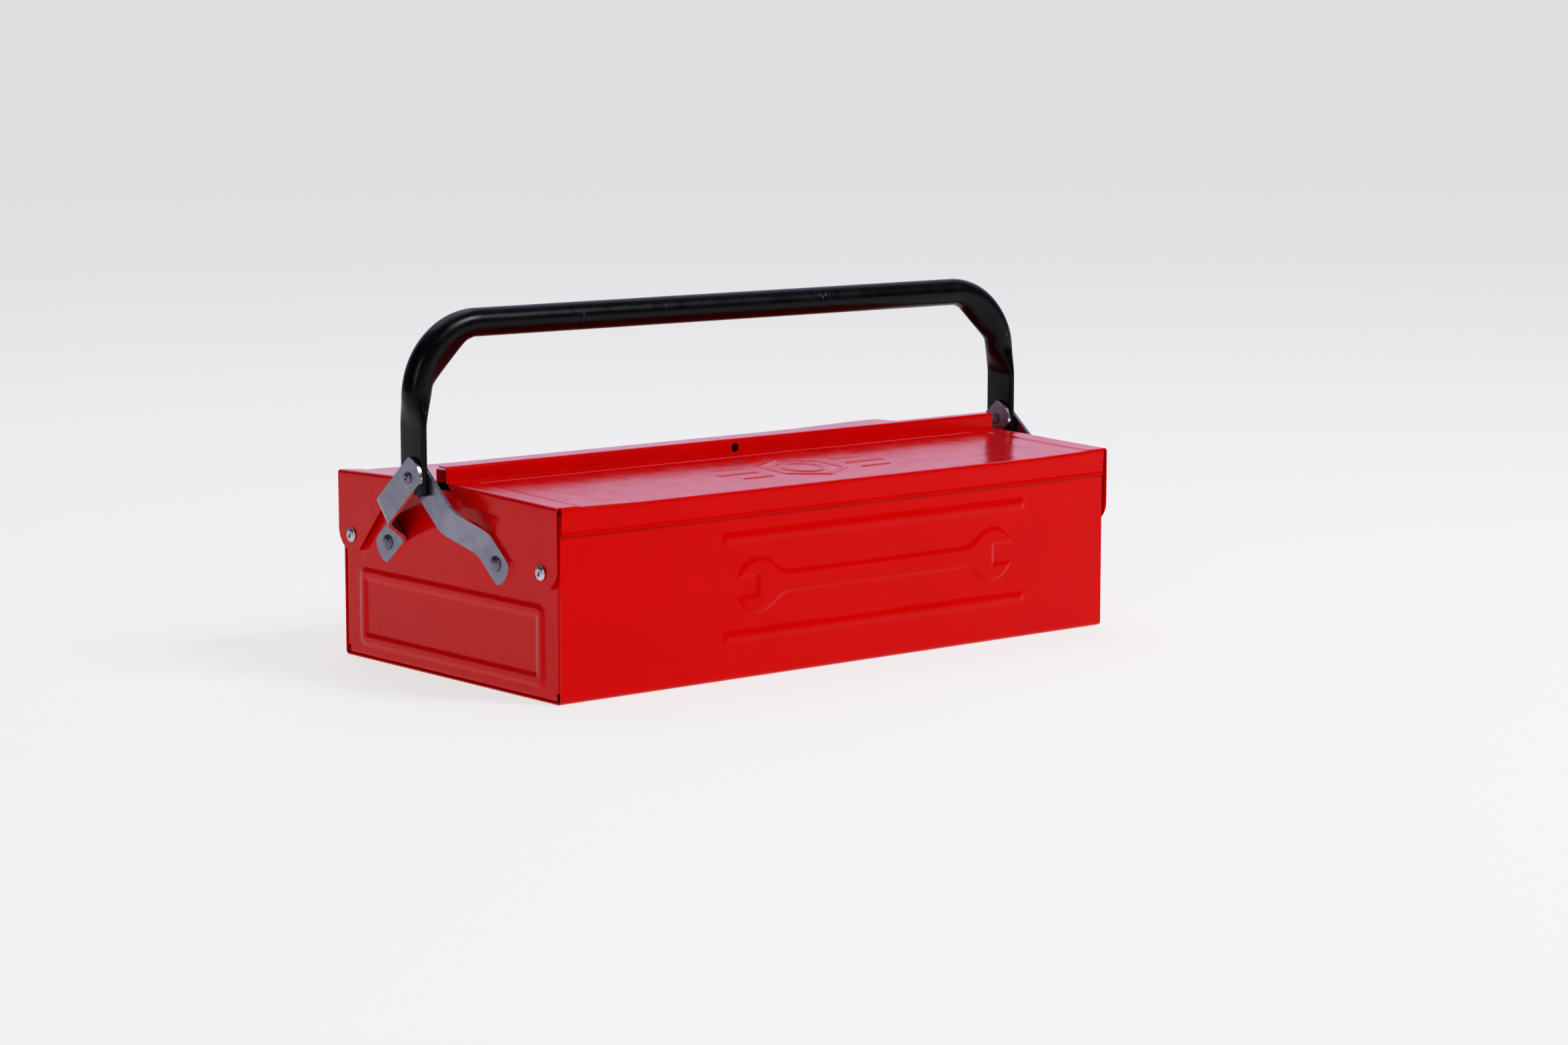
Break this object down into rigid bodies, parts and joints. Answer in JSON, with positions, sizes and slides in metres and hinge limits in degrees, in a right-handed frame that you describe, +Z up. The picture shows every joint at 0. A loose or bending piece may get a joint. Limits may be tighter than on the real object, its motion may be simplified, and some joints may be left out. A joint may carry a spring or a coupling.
{
  "type": "toolbox",
  "caption": "Low steel toolbox with twin lids that meet in a ridge, a bent tube carrying handle on riveted links, and a sliding tray on inner rails.",
  "frame": {"origin": "middle of the underside that the box stands on", "axes": "+Z up, +X along the box to the right end seen from the front, -Y out of the front wall"},
  "size_m": [0.449, 0.2108, 0.2044],
  "materials": {
    "red_enamel": "gloss baked enamel over sheet steel, fine orange peel",
    "black_enamel": "satin gloss enamel on steel tube",
    "grey_enamel": "satin enamel on sheet steel",
    "zinc_steel": "dull zinc-plated strip with sheared edges",
    "rivet_steel": "dark plated rivet steel",
    "rivet_aluminium": "bare blind-rivet aluminium"
  },
  "bodies": {
    "box": {"body_wrap": "red_enamel", "end_panel_left": "red_enamel", "end_panel_right": "red_enamel", "tray_rail_front": "red_enamel", "tray_rail_back": "red_enamel", "link_left_front": "zinc_steel", "link_left_back": "zinc_steel", "link_right_front": "zinc_steel", "link_right_back": "zinc_steel", "link_foot_rivets": "rivet_steel", "handle_pivot_rivets": "rivet_steel", "lid_pivot_rivets": "rivet_aluminium"},
    "front_lid": {"front_lid": "red_enamel"},
    "back_lid": {"back_lid": "red_enamel"},
    "handle": {"handle_tube": "black_enamel"},
    "tray": {"tray_pan": "grey_enamel", "tray_carrying_plate": "grey_enamel", "tray_divider_front": "grey_enamel", "tray_divider_back": "grey_enamel", "tray_rivets": "rivet_aluminium"}
  },
  "joints": [
    {"name": "front_lid_hinge", "type": "hinge", "parent": "box", "child": "front_lid", "pos_m": [0, -0.091, 0.0705], "axis": [1, 0, 0], "range_deg": [0, 110]},
    {"name": "back_lid_hinge", "type": "hinge", "parent": "box", "child": "back_lid", "pos_m": [0, 0.091, 0.0705], "axis": [-1, 0, 0], "range_deg": [0, 110]},
    {"name": "handle_swing", "type": "hinge", "parent": "box", "child": "handle", "pos_m": [0, 0.005, 0.1135], "axis": [1, 0, 0], "range_deg": [-88, 88]},
    {"name": "tray_slide", "type": "slide", "parent": "box", "child": "tray", "axis": [1, 0, 0], "range_m": [0, 0.194]}
  ],
  "couplings": [
    {"joint": "back_lid_hinge", "follows": "front_lid_hinge", "ratio": 1}
  ]
}
